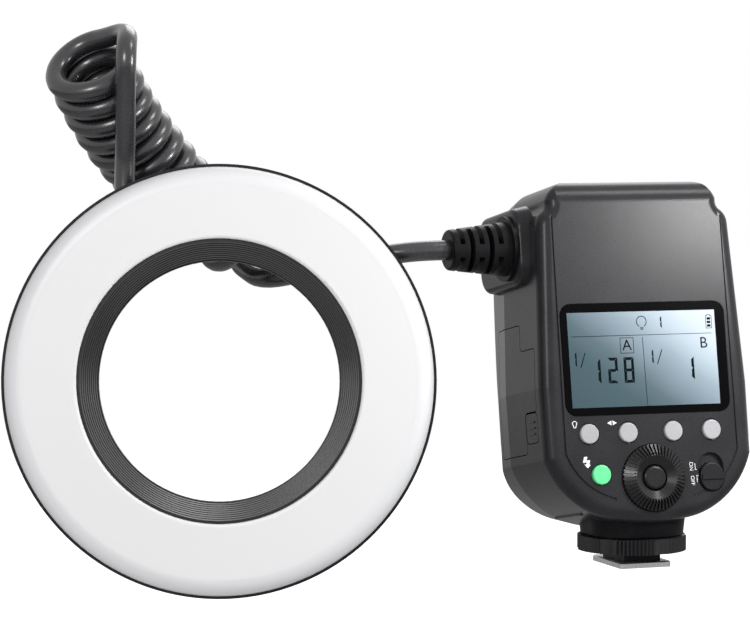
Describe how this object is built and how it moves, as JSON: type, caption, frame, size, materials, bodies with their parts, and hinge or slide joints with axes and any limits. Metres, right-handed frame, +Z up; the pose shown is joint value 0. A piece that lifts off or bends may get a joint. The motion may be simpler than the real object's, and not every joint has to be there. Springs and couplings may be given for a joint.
{
  "type": "macro ring flash",
  "caption": "Hot shoe flash controller with a tilted display housing, joined by a curly cord to a round macro flash head with an opal diffuser.",
  "frame": {"origin": "centre of the shoe foot's underside", "axes": "+Z up out of the camera's shoe, +Y the way the foot slides into the shoe, the display faces -Y and +X is to its right"},
  "size_m": [0.2505, 0.1029, 0.1859],
  "materials": {
    "case_dark": "satin moulded",
    "panel_black": "gloss",
    "lcd_glass": "satin",
    "button_grey": "satin",
    "button_green": "satin translucent",
    "opal": "opal",
    "baffle_black": "matt",
    "cord_rubber": "matt",
    "boot_rubber": "matt",
    "foot_metal": "brushed",
    "steel": "satin",
    "contact_gold": "polished",
    "board_green": "satin",
    "lamp_clear": "gloss",
    "reflector_silver": "polished",
    "tube_glass": "gloss",
    "part_grey": "satin"
  },
  "bodies": {
    "controller": {"front_shell": "case_dark", "rear_cover": "case_dark", "case_screws": "steel", "lcd_window": "panel_black", "lcd_panel": "lcd_glass", "lcd_backlight": "opal", "control_board": "board_green", "tact_switches": "part_grey", "encoder": "part_grey", "slide_switch": "part_grey", "main_board": "board_green", "flash_capacitor": "part_grey", "transformer": "part_grey", "battery_contacts": "contact_gold", "cable_boot": "boot_rubber", "cable_clamp": "part_grey", "sync_jack": "part_grey", "usb_port": "steel", "foot_plate": "foot_metal", "shoe_contacts": "contact_gold", "shoe_block": "case_dark", "shoe_collar": "case_dark", "ring_housing": "case_dark", "ring_diffuser": "opal", "ring_baffle": "baffle_black", "ring_reflector": "reflector_silver", "flash_tube_left": "tube_glass", "flash_tube_right": "tube_glass", "lamp_board": "board_green", "focus_lamps": "lamp_clear", "ring_board": "board_green", "ring_screws": "steel", "ring_gland": "boot_rubber", "cord_lead_controller": "cord_rubber", "cord_coil": "cord_rubber", "cord_lead_ring": "cord_rubber"},
    "dial": {"dial": "case_dark"},
    "set_button": {"set_button": "case_dark"},
    "button_left_outer": {"button_left_outer": "button_grey"},
    "button_left_inner": {"button_left_inner": "button_grey"},
    "button_right_inner": {"button_right_inner": "button_grey"},
    "button_right_outer": {"button_right_outer": "button_grey"},
    "test_button": {"test_button": "button_green"},
    "power_slider": {"power_slider": "case_dark"},
    "lock_wheel": {"lock_wheel": "case_dark"},
    "lock_pin": {"lock_pin": "steel"},
    "battery_pack": {"battery_pack": "case_dark"},
    "battery_latch": {"battery_latch": "case_dark"},
    "port_cover": {"port_cover": "boot_rubber"},
    "ring_latch_left": {"ring_latch_left": "case_dark"},
    "ring_latch_right": {"ring_latch_right": "case_dark"}
  },
  "joints": [
    {"name": "dial_turn", "type": "hinge", "parent": "controller", "child": "dial", "pos_m": [0, -0.01756, 0.03111], "axis": [0, -0.9845, 0.1754], "continuous": true},
    {"name": "set_press", "type": "slide", "parent": "controller", "child": "set_button", "axis": [0, 0.9845, -0.1754], "range_m": [0, 0.0005], "stiffness_N_per_m": 500, "springref_m": -0.001},
    {"name": "press_left_outer", "type": "slide", "parent": "controller", "child": "button_left_outer", "axis": [0, 0.9845, -0.1754], "range_m": [0, 0.0005], "stiffness_N_per_m": 500, "springref_m": -0.001},
    {"name": "press_left_inner", "type": "slide", "parent": "controller", "child": "button_left_inner", "axis": [0, 0.9845, -0.1754], "range_m": [0, 0.0005], "stiffness_N_per_m": 500, "springref_m": -0.001},
    {"name": "press_right_inner", "type": "slide", "parent": "controller", "child": "button_right_inner", "axis": [0, 0.9845, -0.1754], "range_m": [0, 0.0005], "stiffness_N_per_m": 500, "springref_m": -0.001},
    {"name": "press_right_outer", "type": "slide", "parent": "controller", "child": "button_right_outer", "axis": [0, 0.9845, -0.1754], "range_m": [0, 0.0005], "stiffness_N_per_m": 500, "springref_m": -0.001},
    {"name": "press_test", "type": "slide", "parent": "controller", "child": "test_button", "axis": [0, 0.9845, -0.1754], "range_m": [0, 0.0005], "stiffness_N_per_m": 500, "springref_m": -0.001},
    {"name": "power_slide", "type": "slide", "parent": "controller", "child": "power_slider", "axis": [0, 0.1754, 0.9845], "range_m": [0, 0.003]},
    {"name": "lock_turn", "type": "hinge", "parent": "controller", "child": "lock_wheel", "pos_m": [0, 0, 0.0055], "axis": [0, 0, 1], "range_deg": [0, 300]},
    {"name": "pin_slide", "type": "slide", "parent": "controller", "child": "lock_pin", "axis": [0, 0, -1], "range_m": [0, 0.0018]},
    {"name": "battery_slide", "type": "slide", "parent": "controller", "child": "battery_pack", "axis": [-1, 0, 0], "range_m": [0, 0.038]},
    {"name": "battery_latch_press", "type": "slide", "parent": "controller", "child": "battery_latch", "axis": [1, 0, 0], "range_m": [0, 0.0015], "stiffness_N_per_m": 400, "springref_m": -0.001},
    {"name": "port_cover_swing", "type": "hinge", "parent": "controller", "child": "port_cover", "pos_m": [0.0381, 0.00561, 0.04141], "axis": [0, 0.9845, -0.1754], "range_deg": [0, 110]},
    {"name": "ring_latch_left_press", "type": "slide", "parent": "controller", "child": "ring_latch_left", "axis": [0.9524, -0.3047, 0], "range_m": [0, 0.0025], "stiffness_N_per_m": 600, "springref_m": -0.001},
    {"name": "ring_latch_right_press", "type": "slide", "parent": "controller", "child": "ring_latch_right", "axis": [-0.9524, 0.3047, 0], "range_m": [0, 0.0025], "stiffness_N_per_m": 600, "springref_m": -0.001}
  ],
  "couplings": [
    {"joint": "pin_slide", "follows": "lock_turn", "m_per_rad": 0.00034}
  ]
}
